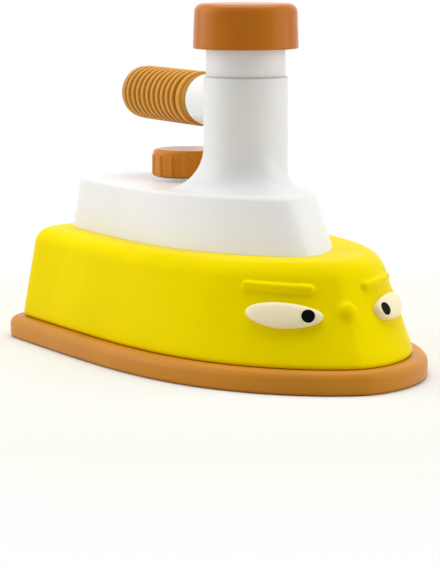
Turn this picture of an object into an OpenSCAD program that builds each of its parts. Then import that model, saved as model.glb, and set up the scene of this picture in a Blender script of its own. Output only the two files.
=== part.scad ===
// Toy iron: a sole, a hollow body with a face on its nose, a housing with a column,
// a sprung push button on the column, a click dial on the deck and a ribbed handle.
// The nose points along +X and up is +Z. The sole rests on Z = 0. Sizes are in millimetres.

/* [Sole] */
// Length of the sole from nose to stern
sole_l = 188; // [180:1:196]
// Width of the sole at its shoulders
sole_w = 104; // [98:1:110]
// Thickness of the sole
sole_t = 7.4; // [6.6:0.1:8.4]
// Radius of the sole's upper edge
sole_edge_r = 2.8; // [1.6:0.1:3.2]
// Distance from the stern to the sole's widest point
sole_shoulder = 27; // [24:1:34]
// Height of the rim on the sole that locates the body
sole_rim_h = 3; // [2:0.5:4]

/* [Body] */
// Height of the body above the sole
body_h = 31.3; // [30:0.1:36]
// Step from the sole's edge to the foot of the body
body_inset = 4.3; // [3.5:0.1:5.5]
// How far the nose leans back from foot to roof
nose_rake = 19.5; // [16:0.5:23]
// How far each side leans in from foot to roof
side_draft = 4.5; // [3.5:0.1:5]
// How far the stern leans in from foot to roof
stern_draft = 3.2; // [2.5:0.1:4.5]
// Radius of the edge round the roof
roof_edge_r = 5; // [3.5:0.5:6]
// Radius of the body's lower edge
body_foot_r = 1.6; // [1:0.1:1.8]
// Thickness of the body's wall
body_wall = 2.4; // [2:0.1:3]

/* [Face] */
// Sideways place of each eye's middle
eye_y = 18.6; // [17:0.2:20]
// Height of the eyes
eye_z = 23.3; // [21:0.1:25]
// Length of an eye
eye_l = 25.8; // [24:0.1:27]
// Height of an eye
eye_h = 8.7; // [8:0.1:10]
// How far an eye stands out of the body
eye_bulge = 2.6; // [2.2:0.1:3.4]
// How far an eye's outer end is turned out of the skin, in degrees
eye_turn = 6; // [3:0.5:8]
// Diameter of a pupil
pupil_d = 4.3; // [3.6:0.1:4.8]
// Distance of a pupil from its eye's middle, towards the nose
pupil_shift = 9; // [8:0.1:9.4]
// Sideways place of a brow's inner end
brow_in_y = 9.6; // [8:0.2:11]
// Sideways place of a brow's outer end
brow_out_y = 24.6; // [23:0.2:27]
// Height of a brow's inner end
brow_in_z = 30.6; // [29.5:0.1:31.5]
// Height of a brow's outer end
brow_out_z = 31.8; // [31:0.1:33]
// Thickness of a brow
brow_d = 2.8; // [2.2:0.1:3.2]
// Diameter of the button nose
nose_d = 6.4; // [5:0.2:8]
// Height of the button nose
nose_z = 24.4; // [23:0.1:27]

/* [Housing] */
// Length of the housing at its foot
housing_l = 133; // [128:1:136]
// Width of the housing at its foot
housing_w = 64; // [60:1:68]
// Height of the housing from the body's roof to the deck
housing_h = 17.8; // [16.8:0.1:19]
// Ledge of the body behind the housing
stern_ledge = 5.5; // [5:0.5:8]
// How far the housing's nose leans back from foot to deck
housing_rake = 13; // [11:0.5:14]
// How far each side of the housing leans in from foot to deck
housing_draft = 1.7; // [1.2:0.1:2.4]
// How far the housing's stern leans in from foot to deck
housing_stern_draft = 4; // [3:0.1:5]
// Radius of the edge round the deck
deck_edge_r = 1.2; // [0.8:0.1:1.6]
// Thickness of the housing's wall and deck
housing_wall = 2.2; // [1.8:0.1:2.6]
// Distance from the housing's stern to the column's axis
column_set = 88; // [86:0.5:90]
// Diameter of the column
column_d = 28; // [27:0.1:30]
// Height of the column above the deck
column_h = 37.7; // [36:0.1:41]
// Largest radius of the fillet at the column's foot
column_fillet = 14; // [10:0.5:15]
// Diameter of the bore in the column that takes the guide sleeve
sleeve_bore_d = 23.2; // [22:0.1:23.6]
// Diameter of the shaft through the lower column
lower_bore_d = 18.6; // [17.5:0.1:19.4]

/* [Button] */
// Diameter of the button at its skirt
cap_d = 35; // [34:0.1:37]
// Height of the button from skirt to top
cap_h = 14.9; // [14:0.1:17]
// How much narrower the button is at its top
cap_taper = 0.8; // [0.4:0.1:1.2]
// Radius of the button's upper edge
cap_edge_r = 3; // [2:0.1:3.6]
// Thickness of the button's wall
cap_wall = 2.2; // [1.8:0.1:2.6]
// Gap between the column and the button's skirt
button_gap = 9.2; // [8.6:0.1:11]
// Travel of the button
button_travel = 7; // [5:0.5:7.5]
// Diameter of the guide sleeve between column and button
sleeve_d = 26.4; // [25:0.1:26.8]
// Length of the sleeve inside the column
sleeve_depth = 18.2; // [17.6:0.1:21]
// Inner diameter of the sleeve
sleeve_cup_d = 19.6; // [19:0.1:20.2]
// Thickness of the sleeve's web that guides the post
web_t = 5; // [4:0.5:6]
// Diameter of the button's post
post_d = 8; // [7:0.1:9]
// Diameter of the spring's wire
wire_d = 1.1; // [0.8:0.1:1.3]
// Mean diameter of the spring
spring_d = 13; // [12:0.1:14]
// Number of turns of the spring
spring_turns = 7; // [6:1:8]

/* [Handle] */
// Height of the handle's axis above the deck
handle_z = 28.5; // [28:0.1:31]
// Diameter of the grip over its ribs
grip_d = 18.7; // [18:0.1:19.6]
// Length of the grip
grip_l = 51.2; // [48:0.1:54]
// Distance from the column's axis to the front of the grip
grip_set = 28.8; // [27:0.1:29.5]
// Diameter of the neck between column and grip
neck_d = 17.2; // [16:0.1:17.4]
// How much wider the neck is where it meets the column
neck_flare = 1.4; // [1:0.1:1.6]
// Length of the plain part of the neck
neck_plain = 9; // [8:0.5:10]
// Length of the plain band at the grip's rear
rib_start = 2.3; // [1.8:0.1:3]
// Distance from rib to rib
rib_pitch = 4.04; // [3.6:0.02:4.4]
// Depth of the grooves between the ribs
rib_depth = 1.24; // [0.8:0.02:1.4]
// Shortest length of the plain collar in front of the ribs
collar_l = 3.2; // [2.4:0.1:4]
// Diameter of the core inside the grip
core_d = 11; // [10:0.1:11.6]
// Depth of the core's seat in the neck
core_seat = 4; // [3:0.5:5]
// Length of the taper at the front of the grip
front_taper = 4.1; // [3:0.1:5]
// How far the grip narrows over that taper
front_drop = 0.5; // [0.3:0.05:0.7]
// Thickness of the end plug's rim
plug_rim = 0.6; // [0.4:0.1:1]
// Height of the end plug's dome
plug_dome = 0.9; // [0.6:0.1:1.4]
// Depth of the recess behind the end plug
plug_recess = 6; // [5.4:0.1:7]
// Diameter of the end plug's spigot
plug_d = 14; // [13:0.1:14.6]

/* [Dial] */
// Distance from the column's axis back to the dial's axis
dial_set = 43; // [41:0.5:45]
// Diameter of the dial
dial_d = 26; // [25:0.5:28]
// Height of the dial
dial_h = 9; // [8:0.1:9.6]
// Radius of a ridge's round back
ridge_r = 0.8; // [0.6:0.05:1.2]
// Height of a ridge
ridge_h = 0.35; // [0.25:0.05:0.5]
// Distance of the ridges from the dial's top
ridge_stop = 1.8; // [1.5:0.1:3]
// Number of ridges round the dial
ridge_count = 16; // [12:1:20]
// Turn of the first ridge from the nose, in degrees
ridge_turn = 12.3; // [0:0.1:22.5]
// Height of the raised ring that the dial turns on
dial_ring_h = 1.5; // [1.2:0.1:2.4]
// Diameter of the raised ring
dial_ring_d = 24; // [22:0.5:25]
// Diameter of the dial's shaft
shaft_d = 10; // [9:0.1:11]
// Diameter of the click wheel
wheel_d = 18; // [17:0.2:19]
// Thickness of the click wheel
wheel_t = 3.4; // [3:0.1:3.8]
// Number of clicks in a turn
click_count = 12; // [12:12:12]
// Thickness of the click spring's leaf
leaf_t = 0.9; // [0.7:0.1:1.2]
// Width of the click spring's eye round its peg
leaf_eye_w = 1.5; // [1.2:0.1:1.8]

/* [Fits] */
// Radial clearance of a running fit
run_gap = 0.06; // [0.04:0.01:0.1]
// Clearance between moving faces
face_gap = 0.3; // [0.3:0.05:0.4]
// Clearance of a fixed insert in its pocket
seat_gap = 0.1; // [0.08:0.01:0.15]
// Clearance round a screw's shank
screw_gap = 0.3; // [0.2:0.05:0.4]

/* [Screws] */
// Diameter of the small screws
screw_d = 2.8; // [2.4:0.1:3]
// Diameter of the small screws' heads
screw_head_d = 5.6; // [5:0.1:6]
// Height of a pan head
screw_head_h = 2; // [1.6:0.1:2.2]
// Diameter of the handle's long screw
handle_screw_d = 3.8; // [3.4:0.1:4]
// Diameter of the handle screw's head
handle_head_d = 7.2; // [6.6:0.1:7.6]
// Diameter of the screw bosses
boss_d = 8; // [7:0.2:9]
// Distance of the front sole screws from the nose of the roof
sole_screw_front = 18; // [16:1:22]
// Sideways place of the front sole screws
sole_screw_front_y = 14; // [12:0.5:16]
// Distance of the rear sole screws from the stern of the roof
sole_screw_rear = 20; // [18:1:24]
// Sideways place of the rear sole screws
sole_screw_rear_y = 28; // [25:0.5:30]
// Distance of the front deck screws from the column's axis
deck_screw_front = 15; // [14:0.5:16]
// Sideways place of the front deck screws
deck_screw_front_y = 8; // [7:0.5:9]
// Distance of the rear deck screws from the housing's stern
deck_screw_rear = 17; // [15:0.5:19]
// Sideways place of the rear deck screws
deck_screw_rear_y = 14; // [12:0.5:16]
// Thickness of the washers
washer_t = 1.4; // [1:0.1:1.6]
// Diameter of the washers
washer_d = 13; // [12:0.2:14]

/* [Hidden] */
$fn = 64;

// Colours of the mouldings and of the metal
yellow = [0.93, 0.83, 0.03];
cream = [0.94, 0.92, 0.84];
white = [0.95, 0.95, 0.93];
black = [0.06, 0.06, 0.06];
tan_brown = [0.78, 0.58, 0.27];
caramel = [0.72, 0.42, 0.11];
steel = [0.70, 0.71, 0.73];
far = 400;

// Outlines are [nose, stern, half width, shoulder x, front power, front root, stern power]
front_steps = 18;
rear_steps = 14;
sole_line = [sole_l / 2, -sole_l / 2, sole_w / 2, sole_shoulder - sole_l / 2, 4.3, 0.62, 3.2];
roof_z = sole_t + body_h;
body_foot = inset(sole_line, body_inset);
body_roof = [body_foot[0] - nose_rake, body_foot[1] + stern_draft, body_foot[2] - side_draft,
             body_foot[3] + stern_draft, 3.8, 0.62, 3.2];
deck_z = roof_z + housing_h;
housing_stern = body_roof[1] + stern_ledge;
housing_shoulder = 52;
housing_foot = [housing_stern + housing_l, housing_stern, housing_w / 2,
                housing_stern + housing_shoulder, 2.4, 0.7, 8];
housing_deck = [housing_foot[0] - housing_rake, housing_foot[1] + housing_stern_draft,
                housing_foot[2] - housing_draft, housing_foot[3], 2.2, 0.75, 8];

// Column, sleeve and button
column_x = housing_stern + column_set;
column_top = deck_z + column_h;
sleeve_seat_z = column_top - sleeve_depth;
skirt_z = column_top + button_gap;
cap_top = skirt_z + cap_h;
cap_ceiling = cap_top - cap_wall;
sleeve_top = cap_ceiling - button_travel - 1.5;
web_z = column_top - web_t - 3;
post_end = web_z - 0.2;
post_pilot = 12;

// Handle, along -X from the column
axis_z = deck_z + handle_z;
grip_front = column_x - grip_set;
grip_rear = grip_front - grip_l;
core_front = grip_front + core_seat;
core_rear = grip_rear + plug_recess;
handle_pilot = 10;
core_bore_d = handle_screw_d + 2 * screw_gap;
rib_count = floor((grip_l - rib_start - front_taper - collar_l) / rib_pitch);
rib_r = (rib_pitch * rib_pitch / 4 + rib_depth * rib_depth) / (2 * rib_depth);

// Dial and click parts under the deck
dial_x = column_x - dial_set;
deck_under = deck_z - housing_wall;
dial_z = deck_z + dial_ring_h + face_gap;
wheel_top = deck_under - 0.4;
wheel_bottom = wheel_top - wheel_t;
hex_d = shaft_d - 1;
notch_r = 1.6;
nose_r = 1.2;
notch_at = wheel_d / 2 + 0.6;
leaf_at = notch_at + nose_r - 0.4;
peg_d = 4;
peg_x = dial_x + 17;

// Screw places
sole_screw_at = [for (y = [1, -1]) each [
    [body_roof[0] - sole_screw_front, y * sole_screw_front_y],
    [body_roof[1] + sole_screw_rear, y * sole_screw_rear_y]]];
deck_screw_at = [for (y = [1, -1]) each [
    [column_x + deck_screw_front, y * deck_screw_front_y],
    [housing_stern + deck_screw_rear, y * deck_screw_rear_y]]];
sole_pilot = 14;
deck_pilot = 9;

// Outline moved inwards by d
function inset(o, d) = [o[0] - d, o[1] + d, o[2] - d, o[3], o[4], o[5], o[6]];

// Points of an outline, anticlockwise from the nose, in nf steps at the front and nr at the rear
function side_points(o, nf, nr) = concat(
    [for (i = [0:nf])
        let (t = cos(90 * i / nf))
        [o[3] + (o[0] - o[3]) * t, o[2] * pow(1 - pow(t, o[4]), o[5])]],
    [for (i = [1:nr])
        let (s = sin(90 * i / nr))
        [o[3] - (o[3] - o[1]) * s, o[2] * sqrt(1 - pow(s, o[6]))]]);
function outline(o, nf = front_steps, nr = rear_steps) =
    let (half = side_points(o, nf, nr), last = len(half) - 1)
    concat(half, [for (i = [last - 1:-1:1]) [half[i][0], -half[i][1]]]);

// Heights and insets of a wall with a rounded foot and a rounded top
function rounded(z0, z1, r0, r1) = concat(
    [for (a = [0:45:90]) [z0 + r0 * (1 - cos(a)), r0 * (1 - sin(a))]],
    [for (a = [0:18:90]) [z1 - r1 + r1 * sin(a), r1 * (1 - cos(a))]]);

// Outline between two others at height z
function between(o0, z0, o1, z1, z) =
    let (u = (z - z0) / (z1 - z0))
    o0 * (1 - u) + o1 * u;

// Solid through rings of equally many points, closed at both ends
module ringed(rings) {
    n = len(rings[0]);
    top = len(rings) - 1;
    walls = [for (k = [0:top - 1]) for (i = [0:n - 1])
        let (j = (i + 1) % n, a = k * n + i, b = k * n + j)
        each [[a, a + n, b + n], [a, b + n, b]]];
    polyhedron([for (r = rings) each r],
               concat([[for (i = [0:n - 1]) i]], walls, [[for (i = [n - 1:-1:0]) top * n + i]]));
}

// Solid through a stack of [height, points]
module loft(sections) {
    ringed([for (s = sections) [for (p = s[1]) [p[0], p[1], s[0]]]]);
}

// Wall form between two outlines with rounded edges, grown inwards by d
module wall_form(o0, z0, o1, z1, r0, r1, d, bottom, top) {
    loft([for (e = rounded(bottom, top, r0, r1))
        [e[0], outline(inset(between(o0, z0, o1, z1, e[0]), e[1] + d))]]);
}

module sole_form(d, bottom, top, edge) {
    wall_form(sole_line, 0, sole_line, sole_t, 0.8, edge, d, bottom, top);
}

module body_form() {
    wall_form(body_foot, sole_t, body_roof, roof_z, body_foot_r, roof_edge_r, 0, sole_t, roof_z);
}

// Body's form over the eyes' height only, moved inwards by d
module face_form(d) {
    loft([for (z = [eye_z - eye_h, eye_z + eye_h]) [z, outline(inset(body_line(z), d))]]);
}

module body_hollow() {
    wall_form(body_foot, sole_t, body_roof, roof_z, 0.01, max(roof_edge_r - body_wall, 1),
              body_wall, sole_t - 1, roof_z - body_wall);
}

module housing_form() {
    wall_form(housing_foot, roof_z, housing_deck, deck_z, 0.4, deck_edge_r, 0, roof_z, deck_z);
}

module housing_hollow() {
    wall_form(housing_foot, roof_z, housing_deck, deck_z, 0.01, 0.8, housing_wall, roof_z - 1,
              deck_under);
}

// Tube of given radii along a path, closed at both ends
module tube(path, radii, sides) {
    last = len(path) - 1;
    ringed([for (i = [0:last])
        let (d = path[min(i + 1, last)] - path[max(i - 1, 0)],
             w = d / norm(d),
             u0 = cross([0, 0, 1], w),
             u = u0 / norm(u0),
             v = cross(w, u))
        [for (k = [0:sides - 1])
            path[i] + radii[i] * (cos(360 * k / sides) * u + sin(360 * k / sides) * v)]]);
}

// Screw pointing up with its head's underside at the origin
module pan_screw(d, head_d, head_h, length) {
    union() {
        cylinder(d = d, h = length);
        translate([0, 0, -head_h])
            cylinder(d1 = head_d * 0.82, d2 = head_d, h = head_h);
    }
}

// Screw pointing up with its flat head flush at the origin
module flat_screw(d, head_d, length) {
    union() {
        cylinder(d = d, h = length);
        cylinder(d1 = head_d, d2 = d, h = (head_d - d) / 2);
    }
}

// Places of the face: a point of the body's skin, and its slopes
function body_line(z) = between(body_foot, sole_t, body_roof, roof_z, z);
function skin(y, z) =
    let (o = body_line(z))
    [o[3] + (o[0] - o[3]) * pow(1 - pow(abs(y) / o[2], 1 / o[5]), 1 / o[4]), y, z];
eye_slope_y = (skin(eye_y + 5, eye_z)[0] - skin(eye_y - 5, eye_z)[0]) / 10;
eye_slope_z = (skin(eye_y, eye_z + 3)[0] - skin(eye_y, eye_z - 3)[0]) / 6;
eye_yaw = atan(-eye_slope_y) + eye_turn;
eye_tilt = atan(-eye_slope_z * cos(eye_yaw));
eye_sunk = 0.8;
eye_egg = 0.12;
eye_pocket = body_wall / 2;
eye_peg_d = 3.2;

// Eye frame: Z out of the skin, X along the eye towards the ear side, Y up
module at_eye() {
    translate(skin(eye_y, eye_z))
        rotate([0, -eye_tilt, eye_yaw])
            rotate([90, 0, 90])
                children();
}

// Egg-shaped eye, narrower towards the nose and sunk into the skin
module eye_form(grow) {
    steps = 7;
    sides = 32;
    n_r = eye_bulge + eye_sunk + grow;
    a_r = eye_l / 2 + grow;
    b_r = eye_h / 2 + grow;
    translate([0, 0, -eye_sunk])
        loft([for (i = [-steps + 1:steps - 1])
            let (a = 90 * i / steps)
            [n_r * sin(a), [for (k = [0:sides - 1])
                let (x = cos(a) * cos(360 * k / sides), y = cos(a) * sin(360 * k / sides))
                [a_r * x, b_r * y * (1 + eye_egg * x)]]]]);
}

pupil_rise = (eye_bulge + eye_sunk) * sqrt(1 - pow(2 * pupil_shift / eye_l, 2)) - eye_sunk;
pupil_lean = atan((eye_bulge + eye_sunk) * pupil_shift / pow(eye_l / 2, 2)
                  / sqrt(1 - pow(2 * pupil_shift / eye_l, 2)));
pupil_depth = 1.4;
pupil_proud = 0.15;

module at_pupil() {
    at_eye()
        translate([-pupil_shift, 0, pupil_rise])
            rotate([0, -pupil_lean, 0])
                children();
}

module eye() {
    difference() {
        union() {
            difference() {
                at_eye() eye_form(0);
                face_form(eye_pocket - seat_gap);
            }
            at_eye()
                translate([0, 0, -body_wall - 2])
                    cylinder(d = eye_peg_d, h = body_wall + 3);
        }
        at_pupil()
            translate([0, 0, -pupil_depth])
                cylinder(d = pupil_d, h = 5);
    }
}

module pupil() {
    intersection() {
        at_eye() eye_form(pupil_proud);
        at_pupil()
            translate([0, 0, -pupil_depth])
                cylinder(d = pupil_d, h = 5);
    }
}

module eye_seat() {
    difference() {
        at_eye() eye_form(seat_gap);
        face_form(eye_pocket);
    }
    at_eye()
        translate([0, 0, -far / 20])
            cylinder(d = eye_peg_d + 2 * run_gap, h = far / 20);
}

module brow() {
    steps = 12;
    tube([for (i = [0:steps])
            let (u = i / steps)
            skin(brow_in_y + (brow_out_y - brow_in_y) * u,
                 brow_in_z + (brow_out_z - brow_in_z) * u) + [0.5, 0, 0]],
         [for (i = [0:steps]) brow_d / 2 * sqrt(1.02 - pow(2 * i / steps - 1, 6))],
         10);
}

module sole_plate() {
    color(tan_brown)
        difference() {
            union() {
                sole_form(0, 0, sole_t, sole_edge_r);
                difference() {
                    loft([for (z = [sole_t - 1, sole_t + sole_rim_h])
                        [z, outline(inset(body_line(z), body_wall + face_gap))]]);
                    loft([for (z = [sole_t - 2, sole_t + sole_rim_h + 1])
                        [z, outline(inset(body_line(z), 2 * body_wall + face_gap))]]);
                    translate([0, 0, sole_t - 3])
                        cylinder(d = far, h = 3);
                }
            }
            for (p = sole_screw_at)
                translate([p[0], p[1], 0])
                    union() {
                        translate([0, 0, -1])
                            cylinder(d = screw_d + 2 * screw_gap, h = sole_t + 2);
                        translate([0, 0, -0.01])
                            cylinder(d1 = screw_head_d + 2 * screw_gap,
                                     d2 = screw_d + 2 * screw_gap,
                                     h = (screw_head_d - screw_d) / 2 + screw_gap);
                    }
        }
}

module sole_screws() {
    color(steel)
        for (p = sole_screw_at)
            translate([p[0], p[1], screw_gap])
                flat_screw(screw_d, screw_head_d, sole_t + sole_pilot - 2);
}

module body_shell() {
    color(yellow)
        difference() {
            union() {
                difference() {
                    body_form();
                    body_hollow();
                }
                for (p = sole_screw_at)
                    translate([p[0], p[1], sole_t])
                        cylinder(d = boss_d, h = body_h - body_wall + 0.5);
                brow();
                mirror([0, 1, 0]) brow();
                translate(skin(0, nose_z) - [0.6, 0, 0])
                    sphere(d = nose_d);
            }
            for (p = sole_screw_at)
                translate([p[0], p[1], sole_t - 1])
                    cylinder(d = screw_d, h = sole_pilot + 1);
            for (p = deck_screw_at)
                translate([p[0], p[1], roof_z - body_wall - 1])
                    cylinder(d = screw_d + 2 * screw_gap, h = body_wall + 2);
            eye_seat();
            mirror([0, 1, 0]) eye_seat();
        }
}

module eye_left() {
    color(cream) eye();
}

module eye_right() {
    color(cream) mirror([0, 1, 0]) eye();
}

module pupil_left() {
    color(black) pupil();
}

module pupil_right() {
    color(black) mirror([0, 1, 0]) pupil();
}

// Fillet round the column's foot, as wide as the deck allows on each side
module column_foot() {
    r = column_d / 2;
    sunk = 2;
    edge = [for (p = outline(inset(housing_deck, deck_edge_r), 28, 6)) p - [column_x, 0]];
    reach = [for (p = edge) min(column_fillet, norm(p) - r - 0.4)];
    every = [0:len(edge) - 1];
    translate([column_x, 0, deck_z])
        ringed(concat(
            [[for (i = every) at_reach(edge[i], r + reach[i], -0.5)]],
            [for (a = [0:13:65])
                [for (i = every)
                    at_reach(edge[i], r + reach[i] * (1 - sin(a)), reach[i] * (1 - cos(a)))]],
            [[for (i = every) at_reach(edge[i], r - sunk, column_fillet)]]));
}
function at_reach(p, d, z) = [p[0] * d / norm(p), p[1] * d / norm(p), z];

// Neck that flares into the column, turned about the handle's axis
module neck_profile() {
    r = neck_d / 2;
    flare_end = grip_set - neck_plain;
    flare_l = flare_end - column_d / 2 + neck_flare * 2;
    flare_r = (flare_l * flare_l + neck_flare * neck_flare) / (2 * neck_flare);
    difference() {
        square([r + neck_flare, grip_set]);
        translate([r + flare_r, flare_end])
            circle(r = flare_r, $fn = 128);
        translate([r, flare_end])
            square([neck_flare + 1, neck_plain + 1]);
    }
}

module deck_housing() {
    color(white)
        difference() {
            union() {
                difference() {
                    housing_form();
                    housing_hollow();
                }
                translate([column_x, 0, deck_z - 0.5])
                    cylinder(d = column_d, h = column_h + 0.5);
                column_foot();
                intersection() {
                    translate([column_x, 0, axis_z])
                        rotate([0, -90, 0])
                            rotate_extrude()
                                neck_profile();
                    translate([grip_front, -far / 2, deck_z + 1])
                        cube([column_x - grip_front, far, column_h - 1]);
                }
                translate([column_x, 0, deck_under - 4])
                    cylinder(d = lower_bore_d + 2 * housing_wall, h = 5);
                translate([dial_x, 0, deck_z - 0.5])
                    cylinder(d = dial_ring_d, h = dial_ring_h + 0.5);
                for (p = deck_screw_at)
                    translate([p[0], p[1], roof_z])
                        cylinder(d = boss_d, h = housing_h - housing_wall + 0.5);
                translate([peg_x, leaf_at + leaf_t / 2, wheel_bottom])
                    cylinder(d = peg_d, h = deck_under - wheel_bottom + 0.5);
            }
            translate([column_x, 0, sleeve_seat_z])
                cylinder(d = sleeve_bore_d, h = sleeve_depth + 1);
            translate([column_x, 0, roof_z])
                cylinder(d = lower_bore_d, h = sleeve_seat_z - roof_z + 1);
            translate([dial_x, 0, deck_under - 1])
                cylinder(d = shaft_d + 2 * run_gap, h = housing_wall + dial_ring_h + 2);
            translate([core_front, 0, axis_z])
                rotate([0, -90, 0])
                    cylinder(d = core_d, h = core_seat + 1);
            translate([core_front + handle_pilot, 0, axis_z])
                rotate([0, -90, 0])
                    cylinder(d = handle_screw_d, h = handle_pilot + 1);
            for (p = deck_screw_at)
                translate([p[0], p[1], roof_z - 1])
                    cylinder(d = screw_d, h = deck_pilot + 1);
        }
}

module deck_screws() {
    color(steel)
        for (p = deck_screw_at)
            translate([p[0], p[1], roof_z - body_wall])
                pan_screw(screw_d, screw_head_d, screw_head_h, body_wall + deck_pilot - 1);
}

module guide_sleeve() {
    color(white)
        translate([column_x, 0, 0])
            difference() {
                union() {
                    translate([0, 0, sleeve_seat_z])
                        cylinder(d = sleeve_bore_d, h = sleeve_depth);
                    translate([0, 0, column_top])
                        cylinder(d = sleeve_d, h = sleeve_top - column_top);
                }
                translate([0, 0, web_z + web_t])
                    cylinder(d = sleeve_cup_d, h = far);
                translate([0, 0, sleeve_seat_z - 1])
                    cylinder(d = sleeve_cup_d, h = web_z - sleeve_seat_z + 1);
                translate([0, 0, web_z - 1])
                    cylinder(d = post_d + 2 * run_gap, h = web_t + 2);
            }
}

// Button as a turned profile: tapered skirt, rounded upper edge, hollow inside, guide post
module cap_profile() {
    r0 = cap_d / 2;
    r1 = (cap_d - cap_taper) / 2;
    difference() {
        union() {
            polygon([[0, skirt_z], [r0, skirt_z], [r1, cap_top - cap_edge_r],
                     [r1 - cap_edge_r, cap_top], [0, cap_top]]);
            translate([r1 - cap_edge_r, cap_top - cap_edge_r])
                circle(r = cap_edge_r);
        }
        translate([0, skirt_z - 1])
            square([r1 - cap_wall, cap_ceiling - skirt_z + 1]);
    }
    translate([0, post_end])
        square([post_d / 2, cap_ceiling - post_end + 0.5]);
}

module button_cap() {
    color(caramel)
        translate([column_x, 0, 0])
            difference() {
                rotate_extrude()
                    cap_profile();
                translate([0, 0, post_end - 1])
                    cylinder(d = screw_d, h = post_pilot + 1);
            }
}

// Helical spring between the sleeve's web and the button's ceiling
module button_spring() {
    steps = 12;
    low = web_z + web_t + wire_d / 2 + 0.05;
    high = cap_ceiling - wire_d / 2 - 0.05;
    count = spring_turns * steps;
    path = [for (i = [0:count])
        [column_x + spring_d / 2 * cos(360 * i / steps), spring_d / 2 * sin(360 * i / steps),
         low + (high - low) * i / count]];
    echo(spring_gap = (high - low) / spring_turns - wire_d);
    color(steel)
        tube(path, [for (i = [0:count]) wire_d / 2], 6);
}

module button_washer() {
    color(steel)
        translate([column_x, 0, post_end - washer_t])
            difference() {
                cylinder(d = washer_d, h = washer_t);
                translate([0, 0, -1])
                    cylinder(d = screw_d + 2 * screw_gap, h = washer_t + 2);
            }
}

module button_screw() {
    color(steel)
        translate([column_x, 0, post_end - washer_t])
            pan_screw(screw_d, screw_head_d, screw_head_h, washer_t + post_pilot - 1);
}

module handle_core() {
    color(white)
        translate([core_front, 0, axis_z])
            rotate([0, -90, 0])
                difference() {
                    cylinder(d = core_d, h = core_front - core_rear);
                    translate([0, 0, -1])
                        cylinder(d = core_bore_d, h = core_front - core_rear + 2);
                }
}

// Grip as a turned profile: a rear band, round-backed ribs, a plain collar and a tapered front
module grip_profile() {
    r = grip_d / 2;
    ribs_l = rib_start + rib_count * rib_pitch;
    groove = rib_depth;
    taper_at = grip_l - front_taper;
    difference() {
        union() {
            square([r - groove, ribs_l + 0.5]);
            polygon([[0, 0], [r - 0.5, 0], [r - 0.1, 0.5], [r - 0.1, rib_start - 0.8],
                     [r - 0.4, rib_start - 0.4], [r - groove, rib_start], [0, rib_start]]);
            for (i = [0:rib_count - 1])
                intersection() {
                    translate([r - rib_r, rib_start + (i + 0.5) * rib_pitch])
                        circle(r = rib_r);
                    translate([0, rib_start + i * rib_pitch])
                        square([r + 1, rib_pitch]);
                }
            polygon([[0, ribs_l], [r - groove, ribs_l], [r - 0.3, ribs_l + 0.6],
                     [r, ribs_l + 1.2], [r, taper_at], [r - front_drop, grip_l], [0, grip_l]]);
        }
        translate([-1, -1])
            square([1 + core_d / 2, grip_l + 2]);
        translate([-1, -1])
            square([1 + plug_d / 2, plug_recess + 1]);
    }
}

module handle_grip() {
    color(tan_brown)
        translate([grip_rear, 0, axis_z])
            rotate([0, 90, 0])
                rotate_extrude()
                    grip_profile();
}

module handle_screw() {
    color(steel)
        translate([core_rear, 0, axis_z])
            rotate([0, 90, 0])
                pan_screw(handle_screw_d, handle_head_d, screw_head_h,
                          core_front - core_rear + handle_pilot - 1);
}

// End plug as a turned profile: spigot, rim and a shallow dome
module plug_profile() {
    rim = grip_d / 2 - 0.2;
    dome_r = (rim * rim + plug_dome * plug_dome) / (2 * plug_dome);
    square([plug_d / 2, plug_recess - screw_head_h - face_gap]);
    translate([0, -plug_rim])
        square([rim, plug_rim]);
    intersection() {
        translate([0, dome_r - plug_dome - plug_rim])
            circle(r = dome_r, $fn = 720);
        translate([0, -plug_dome - plug_rim])
            square([rim, plug_dome]);
    }
}

module grip_end_plug() {
    color(tan_brown)
        translate([grip_rear, 0, axis_z])
            rotate([0, 90, 0])
                rotate_extrude()
                    plug_profile();
}

// Dial as a turned profile: a rounded upper edge and a stepped shaft
module dial_profile() {
    r = dial_d / 2;
    edge = 1.4;
    translate([0, dial_z])
        union() {
            square([r, dial_h - edge]);
            square([r - edge, dial_h]);
            translate([r - edge, dial_h - edge])
                circle(r = edge);
        }
    translate([0, wheel_top + 0.2])
        square([shaft_d / 2, dial_z - wheel_top]);
}

module dial_knob() {
    color(caramel)
        translate([dial_x, 0, 0])
            difference() {
                union() {
                    rotate_extrude()
                        dial_profile();
                    translate([0, 0, wheel_bottom])
                        cylinder(d = hex_d, h = wheel_t + 0.5, $fn = 6);
                    for (i = [0:ridge_count - 1])
                        rotate(ridge_turn + 360 * i / ridge_count)
                            translate([dial_d / 2 + ridge_h - ridge_r, 0, dial_z])
                                cylinder(r = ridge_r, h = dial_h - ridge_stop, $fn = 24);
                }
                translate([0, 0, wheel_bottom - 1])
                    cylinder(d = screw_d, h = post_pilot + 1);
            }
}

module click_wheel() {
    color(white)
        translate([dial_x, 0, wheel_bottom])
            difference() {
                cylinder(d = wheel_d, h = wheel_t);
                translate([0, 0, -1])
                    cylinder(d = hex_d + 2 * run_gap, h = wheel_t + 2, $fn = 6);
                for (i = [0:click_count - 1])
                    rotate(90 + 360 * i / click_count)
                        translate([notch_at, 0, -1])
                            cylinder(r = notch_r, h = wheel_t + 2);
            }
}

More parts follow.
